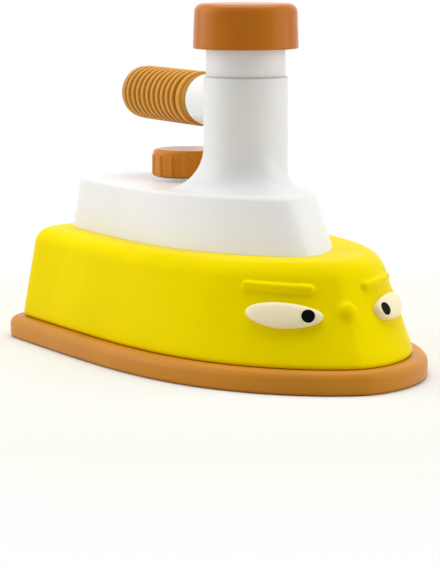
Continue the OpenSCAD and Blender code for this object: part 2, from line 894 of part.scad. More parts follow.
// Leaf that clicks into the wheel, held on a peg under the deck
module click_spring() {
    eye_d = peg_d + 2 * leaf_eye_w;
    color(steel)
        translate([0, 0, wheel_bottom + 0.4])
            difference() {
                union() {
                    translate([dial_x - 2, leaf_at, 0])
                        cube([peg_x - dial_x + 2, leaf_t, wheel_t - 0.8]);
                    translate([dial_x, notch_at, 0])
                        cylinder(r = nose_r, h = wheel_t - 0.8);
                    translate([peg_x, leaf_at + leaf_t / 2, 0])
                        cylinder(d = eye_d, h = wheel_t - 0.8);
                }
                translate([peg_x, leaf_at + leaf_t / 2, -1])
                    cylinder(d = peg_d + 2 * run_gap, h = wheel_t + 1);
            }
}

module dial_washer() {
    color(steel)
        translate([dial_x, 0, wheel_bottom - washer_t])
            difference() {
                cylinder(d = washer_d, h = washer_t);
                translate([0, 0, -1])
                    cylinder(d = screw_d + 2 * screw_gap, h = washer_t + 2);
            }
}

module dial_screw() {
    color(steel)
        translate([dial_x, 0, wheel_bottom - washer_t])
            pan_screw(screw_d, screw_head_d, screw_head_h, washer_t + post_pilot - 1);
}

sole_plate();
sole_screws();
body_shell();
eye_right();
eye_left();
pupil_right();
pupil_left();
deck_housing();
deck_screws();
guide_sleeve();
button_cap();
button_spring();
button_washer();
button_screw();
handle_core();
handle_grip();
handle_screw();
grip_end_plug();
dial_knob();
click_wheel();
click_spring();
dial_washer();
dial_screw();
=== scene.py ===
"""Looks of the toy iron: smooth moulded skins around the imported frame, plastics, light and camera."""

import math
from typing import NamedTuple

import bmesh
import bpy
import numpy as np
from mathutils import Matrix, Vector


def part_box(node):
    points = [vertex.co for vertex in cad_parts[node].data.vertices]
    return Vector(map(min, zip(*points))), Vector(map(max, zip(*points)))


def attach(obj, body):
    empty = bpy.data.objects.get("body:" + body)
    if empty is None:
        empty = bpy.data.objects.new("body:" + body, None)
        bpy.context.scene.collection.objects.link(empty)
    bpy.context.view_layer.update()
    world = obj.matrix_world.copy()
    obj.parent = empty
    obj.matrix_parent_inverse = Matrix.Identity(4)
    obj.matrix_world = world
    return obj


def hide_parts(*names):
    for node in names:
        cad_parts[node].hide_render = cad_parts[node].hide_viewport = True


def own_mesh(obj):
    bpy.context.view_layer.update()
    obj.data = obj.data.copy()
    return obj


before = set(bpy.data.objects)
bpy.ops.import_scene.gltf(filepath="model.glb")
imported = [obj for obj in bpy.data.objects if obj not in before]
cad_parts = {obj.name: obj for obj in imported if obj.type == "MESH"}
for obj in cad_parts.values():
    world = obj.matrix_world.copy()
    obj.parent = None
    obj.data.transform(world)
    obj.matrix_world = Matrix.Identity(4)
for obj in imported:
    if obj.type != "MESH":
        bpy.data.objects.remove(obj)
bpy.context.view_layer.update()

MM = 0.001

# Places read from the frame
sole_low, sole_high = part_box("sole_plate")
SOLE_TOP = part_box("body_shell")[0].z
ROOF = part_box("deck_housing")[0].z
COLUMN_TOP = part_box("deck_housing")[1].z
sleeve_low, sleeve_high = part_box("guide_sleeve")
COLUMN_X = (sleeve_low.x + sleeve_high.x) / 2
cap_low, cap_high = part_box("button_cap")
spring_low, spring_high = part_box("button_spring")
grip_low, grip_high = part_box("handle_grip")
AXIS_Z = (grip_low.z + grip_high.z) / 2
plug_low, plug_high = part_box("grip_end_plug")
dial_low, dial_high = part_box("dial_knob")
DIAL_X = (dial_low.x + dial_high.x) / 2
wheel_low, wheel_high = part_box("click_wheel")
SCREW_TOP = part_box("sole_screws")[1].z

# Steps round turned pieces, from the large ones down to screws
SEGMENTS = 160
BORE_SEGMENTS = 96
HOLE_SEGMENTS = 64
PIN_SEGMENTS = 48

# Gap between pieces that fit, and how far a tool reaches past the surface it cuts or joins
FIT = 0.05 * MM
PAST = 1 * MM

# Added to a length before a division, in case the length is zero
TINY = 1e-12

# Angles in degrees above which an edge is shaded sharp, the second for pieces with cone seats
SHARP = 48
SHARP_CONES = 30

# Sole
SOLE_SHOULDER = 27 * MM
SOLE_EDGE = 2.8 * MM
SOLE_FOOT_EDGE = 1.4 * MM
RIM_H = 3 * MM

# Screws and their holes, each place standing for a pair on both sides of the middle plane
SCREW_R = 1.4 * MM
SCREW_GAP = 0.3 * MM
SCREW_HEAD_R = 2.8 * MM
SCREW_TIP_L = 1 * MM
SCREW_TIP_R = 0.5 * SCREW_R
SCREW_HOLE_R = SCREW_R + SCREW_GAP
HEAD_HOLE_R = SCREW_HEAD_R + SCREW_GAP
CROSS_L = 1.6 * MM
CROSS_W = 0.38 * MM
CROSS_DEPTH = 1.3 * MM
CROSS_TAPER = 0.35
CROSS_TURN = 0.3
HANDLE_SCREW_R = 1.9 * MM
HANDLE_PILOT = 10 * MM
PILOT_DEPTH = 12 * MM
SOLE_PILOT = 14 * MM
DECK_PILOT = 9 * MM
SOLE_SCREWS = [(52.2 * MM, 14 * MM), (-66.5 * MM, 28 * MM)]
DECK_SCREWS = [(22 * MM, 8 * MM), (-64 * MM, 14 * MM)]
BOSS_R = 4 * MM

# Body
BODY_INSET = 4.3 * MM
NOSE_RAKE = 19.5 * MM
SIDE_DRAFT = 4.5 * MM
STERN_DRAFT = 3.2 * MM
ROOF_EDGE = 5 * MM
ROOF_MARGIN = (0.3 * MM, 1.2 * MM)
BODY_FOOT_EDGE = 1.8 * MM
BODY_WALL = 2.4 * MM
RIM_GAP = 0.3 * MM

# Face: where the relief may lie, the rows of points below it and over it, brows and nose
FACE_X = 45 * MM
FACE_LOW = 19 * MM
ROWS_BELOW_FACE = 12
FACE_ROWS = 84
BROW_IN = (9.6 * MM, 30.9 * MM)
BROW_OUT = (24.6 * MM, 31.8 * MM)
BROW_IN_W = 1.45 * MM
BROW_OUT_W = 1.2 * MM
BROW_RISE = 1.6 * MM
BROW_SOFT = 3.2
BROW_STEPS = 160
NOSE_Z = 24.4 * MM
NOSE_W = 2.7 * MM
NOSE_RISE = 2.1 * MM
NOSE_SOFT = 3.2

# Eyes: the shares are of the eye's outline, the heights of its rise
EYE_SIDES = 120
EYE_RISE = 3.0 * MM
EYE_CROWN = 0.15
EYE_POCKET = 1.2 * MM
EYE_SEAM = 0.06 * MM
EYE_TIP_SHARE = 0.02
EYE_SEAT_SHARES = (EYE_TIP_SHARE, 0.35, 0.7, 1)
EYE_HEIGHTS = np.concatenate([np.linspace(0, 0.72, 10),
                              [0.78, 0.83, 0.87, 0.905, 0.935, 0.96, 0.98, 0.995]])
SLOPE_STEP = 0.05 * MM
PUPIL_R = 2.1 * MM
PUPIL_DEPTH = 1.4 * MM
PUPIL_PROUD = 0.12 * MM
PUPIL_TOOL_H = 5 * MM

# Housing
DECK = ROOF + 17.8 * MM
HOUSING_STERN_LEDGE = 5.5 * MM
HOUSING_L = 133 * MM
HOUSING_W = 64 * MM
HOUSING_SHOULDER = 52 * MM
HOUSING_RAKE = 13 * MM
HOUSING_DRAFT = 1.7 * MM
HOUSING_STERN_DRAFT = 4 * MM
HOUSING_WALL = 2.2 * MM
HOUSING_SOFT = 2.5 * MM
HOUSING_FOOT_EDGE = 0.12 * MM
HOUSING_ROWS = np.linspace(ROOF + 1.5 * MM, DECK - 2.5 * MM, 10)
DECK_EDGE = 1.2 * MM
DECK_SHARES = (0.85, 0.5, 0.2)
COLUMN_R = 14 * MM
COLUMN_FILLET = 14.5 * MM
FILLET_MARGIN = 0.4 * MM
FILLET_BLEND = 1 * MM
FILLET_ROWS = 26
COLUMN_ROWS = np.linspace(COLUMN_FILLET + 1 * MM, 36 * MM, 6)
COLUMN_EDGE = 0.5 * MM
SLEEVE_BORE_R = 11.6 * MM
LOWER_BORE_R = 9.3 * MM
NECK_R = 8.6 * MM
NECK_ROOT_R = NECK_R - 1 * MM
NECK_ROOT = 2 * MM
NECK_FILLET = 2.2 * MM
NECK_FILLET_TOP = 0.2 * MM
NECK_FILLET_ROWS = 12
NECK_END = 3 * MM
FILLET_SINK = 0.06 * MM
RING_R = 12 * MM
RING_H = 1.5 * MM
RING_EDGE = 0.3 * MM
SHAFT_R = 5 * MM

# Sleeve and button, with the share of the radius at which a flat top has a ring of points
SLEEVE_R = 13.2 * MM
SLEEVE_CUP_R = 9.8 * MM
SLEEVE_EDGE = 0.5 * MM
SLEEVE_GROOVE = 0.3 * MM
SLEEVE_ROWS = (3 * MM, 6 * MM, 9 * MM)
WEB_LOW = COLUMN_TOP - 8 * MM
WEB_HIGH = COLUMN_TOP - 3 * MM
POST_R = 4 * MM
POST_GAP = 0.06 * MM
SKIRT = cap_high.z - 14.9 * MM
CAP_R = (cap_high.x - cap_low.x) / 2
CAP_TAPER = 0.4 * MM
CAP_EDGE = 3 * MM
CAP_WALL_SHARES = np.linspace(0.1, 0.9, 7)
SKIRT_EDGE = 0.6 * MM
CAP_WALL = 2.2 * MM
TOP_RING = 0.5
WIRE_R = 0.55 * MM
SPRING_TURNS = 7
SPRING_STEPS = 48
SPRING_SIDES = 12

# Grip, from its rear band over the ribs to the collar and the tapered front, and its end plug
GRIP_R = (grip_high.z - grip_low.z) / 2
GRIP_L = grip_high.x - grip_low.x
BAND_R = GRIP_R - 0.1 * MM
BAND_EDGE = 0.5 * MM
BAND_GAP = 0.8 * MM
RIB_COUNT = 10
RIB_PITCH = 4.04 * MM
RIB_START = 2.3 * MM
RIB_DEPTH = 1.6 * MM
RIB_SHARE = 0.31
RIB_POWER = 8
RIB_ROWS = 20
COLLAR_FLANK = 0.35 * MM
COLLAR_EDGE = 0.5 * MM
COLLAR_EDGE_AT = 1.1 * MM
COLLAR_FLAT_AT = 2 * MM
FRONT_TAPER = 4.1 * MM
FRONT_BREAK = 0.4 * MM
FRONT_BREAK_DROP = 0.02 * MM
FRONT_STEP = 0.7 * MM
FRONT_STEP_L = 0.5 * MM
FRONT_DROP = 1.0 * MM
FRONT_EDGE = 0.4 * MM
CORE_R = 5.5 * MM
CORE_SEAT = 4 * MM
PLUG_R = 7 * MM
PLUG_RECESS = 6 * MM
PLUG_RIM = 0.6 * MM
PLUG_SPIGOT = 3.7 * MM
PLUG_DOME_SHARES = np.linspace(0.1, 0.97, 14)

# Dial
DIAL_R = 13 * MM
DIAL_H = 9 * MM
DIAL_FOOT = dial_high.z - DIAL_H
DIAL_EDGE = 1.4 * MM
DIAL_WALL_TOP = dial_high.z - DIAL_EDGE
DIAL_FOOT_EDGE = 0.4 * MM
DIAL_ROWS = np.concatenate([np.linspace(DIAL_FOOT + DIAL_FOOT_EDGE, dial_high.z - 2.6 * MM, 8),
                            np.linspace(dial_high.z - 2.4 * MM, DIAL_WALL_TOP, 10, endpoint=False)])
RIDGES = 16
RIDGE_SEGMENTS = 36
RIDGE_TURN = math.radians(12.3)
RIDGE_W = 0.85 * MM
RIDGE_H = 0.42 * MM
RIDGE_STOP = 1.8 * MM
RIDGE_RUN = 0.4 * MM
RIDGE_REACH = 0.5 * MM
WHEEL_SEAT_R = 0.77 * SHAFT_R
WHEEL_GAP = 0.2 * MM

# Plastics and steel: cells of their noises per metre, and how far gloss and pigment drift
NOISE_RANGE = (0.3, 0.7)
TINT_RANGE = (0.32, 0.68)
PIGMENT_SCALE = 38
GLOSS_SCALE = 90
GLOSS_DRIFT = 0.03
GRAIN_SCALE = 420
GRAIN_DEPTH = 0.1 * MM
PLASTIC_IOR = 1.5
STEEL_PIGMENT_SCALE = 600
STEEL_PIGMENT_DARK = 0.9
STEEL_GLOSS_SCALE = 1400
STEEL_GLOSS_DRIFT = 0.08
TAN_SHEEN = (1, 0.75, 0.4)
CARAMEL_SHEEN = (0.7, 0.8, 0.55)
# Painted shade of the grip: the share of its colour left at the grooves' floor, and the radius where the
# painted shade ends
PAINTED_GROOVE_SHADE = 0.36
GROOVE_TOP = GRIP_R - 0.15 * MM

# Floor, in metres: the glow that whitens it grows from near to far; near the object it is warm, a painted
# bounce of light from the body, and beside the sole it is held back, which paints contact shade
FLOOR_HALF = 4.0
FLOOR_COLOUR = (0.76, 0.755, 0.74, 1)
FLOOR_WHITE = 0.40
FADE_NEAR = 0.11
FADE_FAR = 0.34
PAINTED_BOUNCE_GLOW = (1, 0.992, 0.88)
GLOW_FAR = (1, 1, 1)
# Reach and range of the ambient occlusion that paints contact shade beside the sole
CONTACT_REACH = 8 * MM
CONTACT_RANGE = (0.45, 0.95)

# Light and camera
ROOM_LIGHT = 0.30
WHITE = (1, 1, 1, 1)
CAMERA_AT = Vector((0.879, -0.4286, 0.145))
CAMERA_LOOK = Vector((-0.89449, 0.42998, -0.12253))
CAMERA_FAR = 50
LENS = 186.14
SENSOR = 36
TARGET = Vector((0, 0, 0.05))


class Lamp(NamedTuple):
    """Soft box, placed to the right of the target, nearer the camera and above it, in metres."""
    name: str
    right: float
    nearer: float
    above: float
    size: float
    power: float


LAMPS = [Lamp("left_box", right=-1.3, nearer=-0.15, above=0.50, size=1.2, power=10.2),
         Lamp("right_box", right=1.3, nearer=0.15, above=0.45, size=1.2, power=8.8),
         Lamp("top_box", right=0, nearer=-0.25, above=1.3, size=1.4, power=19)]


class Eye(NamedTuple):
    """Outline of an eye on the skin, as on the left side, and where its pupil lies in it."""
    y: float
    z: float
    width: float
    height: float
    egg: float
    pupil_in: float
    pupil_down: float


EYE_LEFT = Eye(y=18.9 * MM, z=23.5 * MM, width=15.6 * MM, height=7.4 * MM, egg=0.05,
               pupil_in=5.0 * MM, pupil_down=0.5 * MM)
EYE_RIGHT = Eye(y=17.2 * MM, z=22.9 * MM, width=18.4 * MM, height=7.2 * MM, egg=0.2,
                pupil_in=5.2 * MM, pupil_down=0.5 * MM)


class Outline(NamedTuple):
    """Plan of a lofted wall: a pointed front, a widest place and a blunt stern.
    power and root bend the front, rear bends the stern, and soft rounds the tip of the front."""
    nose: float
    stern: float
    half: float
    shoulder: float
    power: float
    root: float
    rear: float
    soft: float = 0.0


def inset(o, d):
    """The outline moved inwards by d."""
    return o._replace(nose=o.nose - d, stern=o.stern + d, half=o.half - d)


def between(o0, z0, o1, z1, z):
    """The outline at height z of a wall that runs from o0 at z0 to o1 at z1."""
    u = (z - z0) / (z1 - z0)
    return Outline(*((1 - u) * a + u * b for a, b in zip(o0, o1)))


SOLE_LINE = Outline(nose=sole_high.x, stern=sole_low.x, half=sole_high.y,
                    shoulder=sole_low.x + SOLE_SHOULDER, power=4.3, root=0.62, rear=3.2)
BODY_FOOT = inset(SOLE_LINE, BODY_INSET)
BODY_ROOF = Outline(nose=BODY_FOOT.nose - NOSE_RAKE, stern=BODY_FOOT.stern + STERN_DRAFT,
                    half=BODY_FOOT.half - SIDE_DRAFT, shoulder=BODY_FOOT.shoulder + STERN_DRAFT,
                    power=3.8, root=0.62, rear=3.2)
HOUSING_STERN = BODY_ROOF.stern + HOUSING_STERN_LEDGE
HOUSING_FOOT = Outline(nose=HOUSING_STERN + HOUSING_L, stern=HOUSING_STERN, half=HOUSING_W / 2,
                       shoulder=HOUSING_STERN + HOUSING_SHOULDER, power=2.4, root=0.7, rear=8,
                       soft=HOUSING_SOFT)
HOUSING_DECK = Outline(nose=HOUSING_FOOT.nose - HOUSING_RAKE,
                       stern=HOUSING_STERN + HOUSING_STERN_DRAFT,
                       half=HOUSING_W / 2 - HOUSING_DRAFT, shoulder=HOUSING_FOOT.shoulder,
                       power=2.2, root=0.75, rear=8, soft=HOUSING_SOFT)

# Steps round an outline: fine over the face, wider along the sides and the stern
FACE_ANGLE = math.radians(38)
FACE_STEPS = 130
SIDE_STEPS = 40
STERN_STEPS = 60
FRONT_ANGLES = np.concatenate([np.linspace(0, FACE_ANGLE, FACE_STEPS, endpoint=False),
                               np.linspace(FACE_ANGLE, math.pi / 2, SIDE_STEPS)])
REAR_ANGLES = np.linspace(0, math.pi / 2, STERN_STEPS)[1:]

# Angles of the rows in the rounded foot and the rounded top of a wall
FOOT_ANGLES = np.linspace(0, math.pi / 2, 7)
TOP_ANGLES = np.linspace(0, math.pi / 2, 15)


def body_outline(z):
    """Plan of the body's outer skin at height z."""
    return between(BODY_FOOT, SOLE_TOP, BODY_ROOF, ROOF, z)


def housing_outline(z):
    """Plan of the housing's outer skin at height z."""
    return between(HOUSING_FOOT, ROOF, HOUSING_DECK, DECK, z)


def ring(o, z):
    """Points of an outline at height z, anticlockwise from the nose."""
    t = np.cos(FRONT_ANGLES)
    s = np.sin(REAR_ANGLES)
    width = np.clip(1 - t ** o.power, 0, 1) ** o.root
    blunt = np.hypot(width, o.soft / o.half * (1 - width ** 2))
    t = np.clip(1 - blunt ** (1 / o.root), 0, 1) ** (1 / o.power)
    x = np.concatenate([o.shoulder + (o.nose - o.shoulder) * t,
                        o.shoulder - (o.shoulder - o.stern) * s])
    y = o.half * np.concatenate([width, np.sqrt(np.clip(1 - s ** o.rear, 0, 1))])
    x = np.concatenate([x, x[-2:0:-1]])
    y = np.concatenate([y, -y[-2:0:-1]])
    return np.stack([x, y, np.full(len(x), z)], axis=1)


def wall_rows(z0, z1, foot_edge, top_edge, middle):
    """Heights and insets of a wall with a rounded foot and a rounded top."""
    foot = [(z0 + foot_edge * (1 - math.cos(a)), foot_edge * (1 - math.sin(a))) for a in FOOT_ANGLES]
    top = [(z1 - top_edge + top_edge * math.sin(a), top_edge * (1 - math.cos(a))) for a in TOP_ANGLES]
    return foot + [(z, 0) for z in middle] + top


def new_object(name, verts, faces):
    """A mesh object with outward normals, linked into the scene."""
    mesh = bpy.data.meshes.new(name)
    mesh.from_pydata([tuple(v) for v in verts], [], faces)
    work = bmesh.new()
    work.from_mesh(mesh)
    bmesh.ops.recalc_face_normals(work, faces=work.faces)
    work.to_mesh(mesh)
    work.free()
    obj = bpy.data.objects.new(name, mesh)
    bpy.context.scene.collection.objects.link(obj)
    return obj


def loft(name, rings):
    """Closed solid through rings of equally many points."""
    count = len(rings[0])
    verts = np.concatenate(rings)
    faces = [list(range(count))]
    for k in range(len(rings) - 1):
        for i in range(count):
            j = (i + 1) % count
            faces.append([k * count + i, k * count + j, (k + 1) * count + j, (k + 1) * count + i])
    last = (len(rings) - 1) * count
    faces.append([last + i for i in reversed(range(count))])
    return new_object(name, verts, faces)


def turned(name, profile, place, segments=SEGMENTS, closed=False, warp=None):
    """Solid turned about the local Z axis from (radius, height) points.
    An open profile starts and ends on the axis. warp(angle, radius, height) gives another radius."""
    angles = np.arange(segments) * 2 * math.pi / segments
    verts, rows = [], []
    for radius, height in profile:
        if radius == 0:
            rows.append([len(verts)] * segments)
            verts.append((0, 0, height))
        else:
            rows.append(list(range(len(verts), len(verts) + segments)))
            for a in angles:
                r = warp(a, radius, height) if warp else radius
                verts.append((r * math.cos(a), r * math.sin(a), height))
    faces = []
    for low, high in zip(rows, rows[1:] + (rows[:1] if closed else [])):
        for i in range(segments):
            j = (i + 1) % segments
            face = list(dict.fromkeys([low[i], low[j], high[j], high[i]]))
            if len(face) > 2:
                faces.append(face)
    return new_object(name, [place @ Vector(v) for v in verts], faces)


def arc(centre, radius, start, end, steps):
    """Points of an arc, angles in degrees."""
    return [(centre[0] + radius * math.cos(math.radians(a)),
             centre[1] + radius * math.sin(math.radians(a)))
            for a in np.linspace(start, end, steps + 1)]


def upright(x, y=0.0):
    """Place of a piece turned about a vertical axis."""
    return Matrix.Translation((x, y, 0))


def lengthwise(x):
    """Place of a piece turned about the handle's axis, with its height along +X."""
    return Matrix.Translation((x, 0, AXIS_Z)) @ Matrix.Rotation(math.pi / 2, 4, "Y")


def both_sides(places):
    """Each place and its mirror image."""
    return [(x, side * y) for x, y in places for side in (1, -1)]


def pin(radius, low, high, place, segments=PIN_SEGMENTS):
    """Plain round tool for bores and bosses."""
    return turned("tool", [(0, low), (radius, low), (radius, high), (0, high)], place, segments)


def pins(radius, low, high, places):
    """Upright pins at both sides of the middle plane."""
    return [pin(radius, low, high, upright(x, y)) for x, y in both_sides(places)]


def merge(objects):
    """One object from several that don't touch."""
    work = bmesh.new()
    for obj in objects:
        work.from_mesh(obj.data)
        bpy.data.objects.remove(obj)
    mesh = bpy.data.meshes.new("tools")
    work.to_mesh(mesh)
    work.free()
    merged = bpy.data.objects.new("tools", mesh)
    bpy.context.scene.collection.objects.link(merged)
    return merged


def combine(obj, operation, tools):
    """Unite obj with tools, cut them out of it or keep what it shares with them."""
    tool = merge(tools)
    step = obj.modifiers.new("combine", "BOOLEAN")
    step.operation = operation
    step.solver = "EXACT"
    step.object = tool
    made = obj.evaluated_get(bpy.context.evaluated_depsgraph_get())
    mesh = bpy.data.meshes.new_from_object(made)
    obj.modifiers.clear()
    obj.data = mesh
    bpy.data.objects.remove(tool)


def flip(obj):
    """Move obj to the other side of the middle plane, and return it."""
    work = bmesh.new()
    work.from_mesh(obj.data)
    for v in work.verts:
        v.co.y = -v.co.y
    bmesh.ops.reverse_faces(work, faces=work.faces)
    work.to_mesh(obj.data)
    work.free()
    return obj


def dress(obj, body, nodes, material, sharp=SHARP):
    """Shade a finished piece and tie it to the frame."""
    obj.data.materials.clear()
    obj.data.materials.append(material)
    obj.data.shade_smooth()
    obj.data.set_sharp_from_angle(angle=math.radians(sharp))
    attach(obj, body)
    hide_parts(*nodes)


# Materials

def principled(name):
    """A new material with its node tree and its shader."""
    material = bpy.data.materials.new(name)
    material.use_nodes = True
    return material, material.node_tree, material.node_tree.nodes["Principled BSDF"]


def noise(tree, scale, detail):
    """Noise over the object's own coordinates, scale in cells per metre."""
    place = tree.nodes.new("ShaderNodeTexCoord")
    texture = tree.nodes.new("ShaderNodeTexNoise")
    texture.inputs["Scale"].default_value = scale
    texture.inputs["Detail"].default_value = detail
    tree.links.new(place.outputs["Object"], texture.inputs["Vector"])
    return texture.outputs[0]


def spread(tree, source, low, high, start=NOISE_RANGE[0], end=NOISE_RANGE[1]):
    """A value between start and end mapped to the range from low to high."""
    node = tree.nodes.new("ShaderNodeMapRange")
    node.inputs["From Min"].default_value = start
    node.inputs["From Max"].default_value = end
    node.inputs["To Min"].default_value = low
    node.inputs["To Max"].default_value = high
    tree.links.new(source, node.inputs["Value"])
    return node.outputs["Result"]


def tint(tree, source, dark, light):
    """A value from 0 to 1 mapped to colours between dark and light."""
    node = tree.nodes.new("ShaderNodeValToRGB")
    low, high = node.color_ramp.elements
    low.position, high.position = TINT_RANGE
    low.color = (*dark, 1)
    high.color = (*light, 1)
    tree.links.new(source, node.inputs["Fac"])
    return node.outputs["Color"]


def reckon(tree, operation, first, second):
    """The product, the maximum or the like of two values."""
    node = tree.nodes.new("ShaderNodeMath")
    node.operation = operation
    tree.links.new(first, node.inputs[0])
    tree.links.new(second, node.inputs[1])
    return node.outputs[0]


def vector_step(tree, operation, source, other=None):
    """Node that reckons with a vector and, where it needs one, a fixed second vector."""
    node = tree.nodes.new("ShaderNodeVectorMath")
    node.operation = operation
    tree.links.new(source, node.inputs[0])
    if other is not None:
        node.inputs[1].default_value = other
    return node


def plastic(name, colour, roughness, gloss, drift=0.03, peel=0.02, sheen=(1, 1, 1)):
    """Moulded plastic: pigment that drifts a little, uneven gloss and a fine moulded grain.
    gloss is the strength of its reflections and sheen is their colour."""
    material, tree, shader = principled(name)
    dark = [c * (1 - drift) for c in colour]
    light = [min(1, c * (1 + drift)) for c in colour]
    pigment = tint(tree, noise(tree, PIGMENT_SCALE, detail=3), dark, light)
    tree.links.new(pigment, shader.inputs["Base Color"])
    uneven = spread(tree, noise(tree, GLOSS_SCALE, detail=2),
                    roughness - GLOSS_DRIFT, roughness + GLOSS_DRIFT)
    tree.links.new(uneven, shader.inputs["Roughness"])
    bump = tree.nodes.new("ShaderNodeBump")
    bump.inputs["Strength"].default_value = peel
    bump.inputs["Distance"].default_value = GRAIN_DEPTH
    tree.links.new(noise(tree, GRAIN_SCALE, detail=2), bump.inputs["Height"])
    tree.links.new(bump.outputs["Normal"], shader.inputs["Normal"])
    shader.inputs["IOR"].default_value = PLASTIC_IOR
    shader.inputs["Specular IOR Level"].default_value = gloss
    shader.inputs["Specular Tint"].default_value = (*sheen, 1)
    return material


def metal(name, colour, roughness):
    """Plated steel with fine uneven gloss."""
    material, tree, shader = principled(name)
    dark = [c * STEEL_PIGMENT_DARK for c in colour]
    pigment = tint(tree, noise(tree, STEEL_PIGMENT_SCALE, detail=4), dark, colour)
    tree.links.new(pigment, shader.inputs["Base Color"])
    uneven = spread(tree, noise(tree, STEEL_GLOSS_SCALE, detail=3),
                    roughness - STEEL_GLOSS_DRIFT, roughness + STEEL_GLOSS_DRIFT)
    tree.links.new(uneven, shader.inputs["Roughness"])
    shader.inputs["Metallic"].default_value = 1.0
    return material


def paint_groove_shade(material, low, high):
    """Painted shade: the colour darkens towards the handle's axis, which paints shade into the grooves of
    the grip and onto its narrower front.
    """
    tree = material.node_tree
    shader = tree.nodes["Principled BSDF"]
    pigment = shader.inputs["Base Color"].links[0].from_socket
    place = tree.nodes.new("ShaderNodeTexCoord").outputs["Object"]
    from_axis = vector_step(tree, "SUBTRACT", place, (0, 0, AXIS_Z))
    across = vector_step(tree, "MULTIPLY", from_axis.outputs["Vector"], (0, 1, 1))
    radius = vector_step(tree, "LENGTH", across.outputs["Vector"])
    shaded = vector_step(tree, "SCALE", pigment)
    shade = spread(tree, radius.outputs["Value"], PAINTED_GROOVE_SHADE, 1.0, low, high)
    tree.links.new(shade, shaded.inputs["Scale"])
    tree.links.new(shaded.outputs["Vector"], shader.inputs["Base Color"])


yellow = plastic("yellow_plastic", (0.82, 0.655, 0.0002), roughness=0.34, gloss=0.006, peel=0.007,
                 sheen=(1, 0.82, 0.02))
white = plastic("white_plastic", (0.80, 0.795, 0.785), roughness=0.36, gloss=0.25, drift=0.010)
cream = plastic("cream_plastic", (0.87, 0.765, 0.50), roughness=0.38, gloss=0.22, drift=0.02)
black = plastic("black_plastic", (0.004, 0.003, 0.003), roughness=0.24, gloss=0.03, drift=0.25)
tan = plastic("tan_plastic", (0.55, 0.222, 0.024), roughness=0.38, gloss=0.12, drift=0.05, peel=0.04,
              sheen=TAN_SHEEN)
# Tan of the grip, with painted shade in its grooves and on its front
grip_tan_painted_shade = plastic("grip_tan_plastic", (0.60, 0.275, 0.034), roughness=0.36, gloss=0.12, drift=0.05,
                   peel=0.03, sheen=TAN_SHEEN)
paint_groove_shade(grip_tan_painted_shade, GRIP_R - RIB_DEPTH, GROOVE_TOP)
caramel = plastic("caramel_plastic", (0.51, 0.150, 0.008), roughness=0.20, gloss=0.16, drift=0.05,
                  sheen=CARAMEL_SHEEN)
amber = plastic("dial_amber_plastic", (0.56, 0.190, 0.011), roughness=0.20, gloss=0.16, drift=0.05,
                sheen=CARAMEL_SHEEN)
steel = metal("screw_steel", (0.62, 0.63, 0.65), roughness=0.32)


# Sole and its screws

def make_sole():
    """Rounded slab with the rim that locates the body, and countersunk screw holes."""
    rings = [ring(inset(SOLE_LINE, d), z)
             for z, d in wall_rows(0, SOLE_TOP, SOLE_FOOT_EDGE, SOLE_EDGE, [])]
    rim_out, rim_in = BODY_WALL + RIM_GAP, 2 * BODY_WALL + RIM_GAP
    rim_top = SOLE_TOP + RIM_H
    for depth, z in ((rim_out, SOLE_TOP), (rim_out, rim_top), (rim_in, rim_top), (rim_in, SOLE_TOP)):
        rings.append(ring(inset(body_outline(z), depth), z))
    sole = loft("sole_moulded", rings)
    countersink = [(0, -PAST), (HEAD_HOLE_R, -PAST), (HEAD_HOLE_R, 0),
                   (SCREW_HOLE_R, HEAD_HOLE_R - SCREW_HOLE_R), (SCREW_HOLE_R, SOLE_TOP + PAST),
                   (0, SOLE_TOP + PAST)]
    combine(sole, "DIFFERENCE", [turned("tool", countersink, upright(x, y), HOLE_SEGMENTS)
                                 for x, y in both_sides(SOLE_SCREWS)])
    dress(sole, "iron", ["sole_plate"], tan, SHARP_CONES)


def cross_bar(x, y, turn):
    """Tapered bar that cuts one slot of a cross recess from below."""
    place = Matrix.Translation((x, y, 0)) @ Matrix.Rotation(turn, 4, "Z")
    rings = []
    for z, share in ((-PAST, 1.0), (SCREW_GAP, 1.0), (SCREW_GAP + CROSS_DEPTH, CROSS_TAPER)):
        rings.append(np.array([place @ Vector((sx * CROSS_L * share, sy * CROSS_W * share, z))
                               for sx, sy in ((1, 1), (-1, 1), (-1, -1), (1, -1))]))
    return loft("tool", rings)


def make_sole_screws():
    """Screws of the sole, with a cross recess in each head."""
    cone = SCREW_HEAD_R - SCREW_R
    profile = [(0, SCREW_GAP), (SCREW_HEAD_R, SCREW_GAP), (SCREW_R, SCREW_GAP + cone),
               (SCREW_R, SCREW_TOP - SCREW_TIP_L), (SCREW_TIP_R, SCREW_TOP), (0, SCREW_TOP)]
    screws = merge([turned("screw", profile, upright(x, y), PIN_SEGMENTS)
                    for x, y in both_sides(SOLE_SCREWS)])
    screws.name = "sole_screws_crossed"
    for turn in (CROSS_TURN, math.pi / 2 + CROSS_TURN):
        combine(screws, "DIFFERENCE", [cross_bar(x, y, turn) for x, y in both_sides(SOLE_SCREWS)])
    dress(screws, "iron", ["sole_screws"], steel, SHARP_CONES)


# Body and face

def skin(y, z):
    """Point of the body's outer skin on the face."""
    o = body_outline(z)
    reach = (1 - (abs(y) / o.half) ** (1 / o.root)) ** (1 / o.power)
    return Vector((o.shoulder + (o.nose - o.shoulder) * reach, y, z))


def skin_normal(y, z):
    """Direction straight out of the body's skin."""
    slope_y = (skin(y + SLOPE_STEP, z).x - skin(y - SLOPE_STEP, z).x) / (2 * SLOPE_STEP)
    slope_z = (skin(y, z + SLOPE_STEP).x - skin(y, z - SLOPE_STEP).x) / (2 * SLOPE_STEP)
    return Vector((1, -slope_y, -slope_z)).normalized()


def distance(points, targets):
    """Distance of each point to the nearest target, and which one that is."""
    gaps = np.linalg.norm(points[:, None, :] - targets[None, :, :], axis=2)
    return gaps.min(axis=1), gaps.argmin(axis=1)


